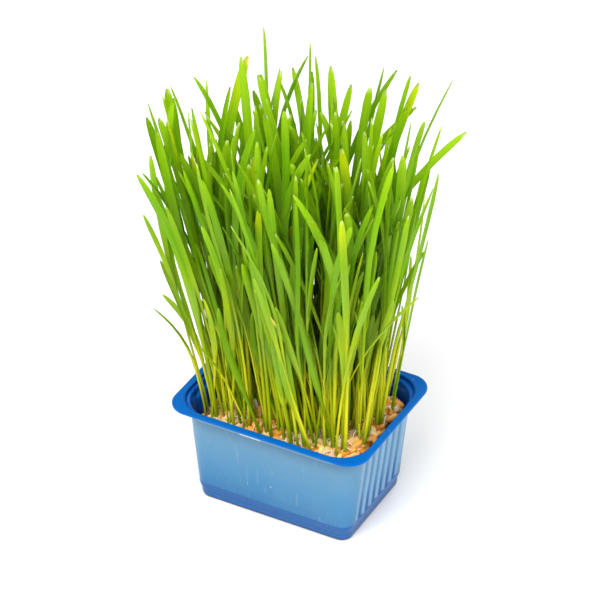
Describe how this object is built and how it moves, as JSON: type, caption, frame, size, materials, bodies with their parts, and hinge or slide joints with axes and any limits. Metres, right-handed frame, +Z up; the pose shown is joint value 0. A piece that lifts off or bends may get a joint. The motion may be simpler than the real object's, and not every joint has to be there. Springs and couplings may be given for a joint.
{
  "type": "wheatgrass tray",
  "caption": "Thin blue plastic punnet with a rolled rim and grooved short sides, filled with a root mat and sprouted grain, from which a tuft of tall green grass grows.",
  "frame": {"origin": "centre of the tray's flat underside, which stands on the surface", "axes": "+Z up along the shoots; X along the tray's long side; the short sides with upright grooves face +X and -X; -Y is the plain long side taken as the front"},
  "size_m": [0.1505, 0.1222, 0.2427],
  "materials": {
    "tray": "thin vacuum-formed sheet, slightly see-through, glossy",
    "root_mat": "matted white roots, damp",
    "grain_bed": "sprouted grains, satin husks",
    "shoots": "fresh green leaf blades, satin"
  },
  "bodies": {
    "root": {"tray": "tray", "root_mat": "root_mat", "grain_bed": "grain_bed", "shoots": "shoots"}
  },
  "joints": []
}
